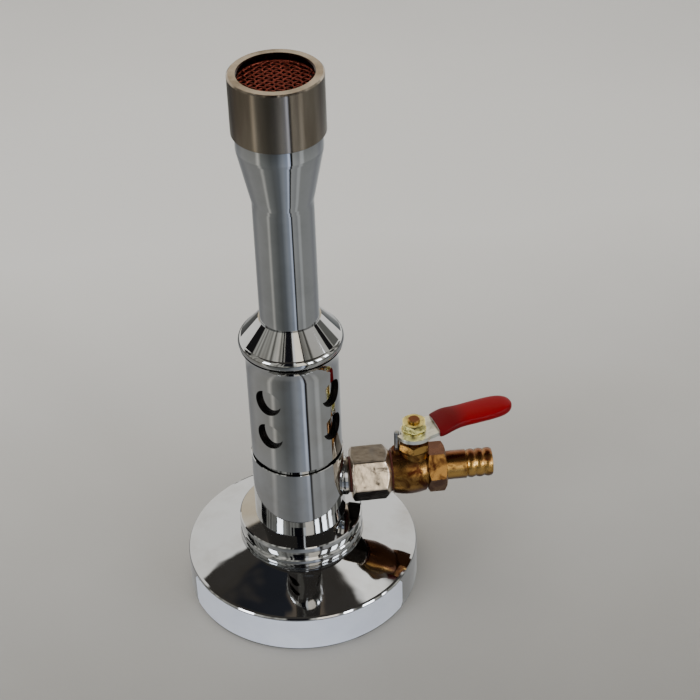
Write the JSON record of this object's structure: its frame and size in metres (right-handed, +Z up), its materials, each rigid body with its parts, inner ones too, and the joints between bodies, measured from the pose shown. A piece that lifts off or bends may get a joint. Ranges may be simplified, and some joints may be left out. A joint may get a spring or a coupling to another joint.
{
  "type": "bunsen burner",
  "caption": "Grid-top gas burner on a round weighted foot, with a turning air sleeve and a side ball valve with hose tail and lever.",
  "frame": {"origin": "on the burner's axis, in the plane that the foot stands on", "axes": "+Z up along the burner tube, +X along the gas pipe towards the hose tail, +Y to the side that the lever swings to"},
  "size_m": [0.1193, 0.0831, 0.207],
  "materials": {
    "chrome": "mirror bright chrome plate",
    "stainless_steel": "turned stainless steel, warm satin",
    "plain_steel": "bright zinc-plated steel",
    "nickel_plate": "nickel plate over a rough forging",
    "zinc_plate": "bare white zinc plate",
    "yellow_zinc": "yellow passivated zinc plate",
    "brass": "machined brass, browned at the edges",
    "copper_wire": "woven copper wire, heat reddened",
    "red_vinyl": "dipped vinyl, glossy",
    "label_paper": "coated paper, blank",
    "fibre_seal": "fibre washer",
    "ptfe": "white PTFE"
  },
  "bodies": {
    "root": {"base_casting": "chrome", "base_label": "label_paper", "base_collar": "chrome", "base_screw": "plain_steel", "base_washer": "plain_steel", "gas_body": "chrome", "gas_jet": "brass", "jet_washer": "fibre_seal", "inner_tube": "chrome", "barrel_shoulder": "chrome", "barrel": "chrome", "head_ring": "stainless_steel", "burner_grid": "copper_wire", "grid_retaining_ring": "plain_steel", "inlet_nipple": "brass", "nipple_washer": "fibre_seal", "valve_end_cap": "nickel_plate", "cap_seal": "fibre_seal", "valve_body": "brass", "stop_pin": "plain_steel", "ball_seat_inner": "ptfe", "ball_seat_outer": "ptfe", "stem_packing": "ptfe", "gland_nut": "brass", "hose_tail": "brass", "tail_seal": "fibre_seal"},
    "air_sleeve": {"air_sleeve": "chrome"},
    "valve_lever": {"valve_ball": "chrome", "valve_stem": "brass", "lever": "zinc_plate", "lever_grip": "red_vinyl", "lever_washer": "yellow_zinc", "lever_nut": "yellow_zinc"}
  },
  "joints": [
    {"name": "air_sleeve_turn", "type": "hinge", "parent": "root", "child": "air_sleeve", "pos_m": [0, 0, 0.082], "axis": [0, 0, 1], "continuous": true},
    {"name": "lever_turn", "type": "hinge", "parent": "root", "child": "valve_lever", "pos_m": [0.0414, 0, 0.0435], "axis": [0, 0, 1], "range_deg": [-14, 76]}
  ]
}
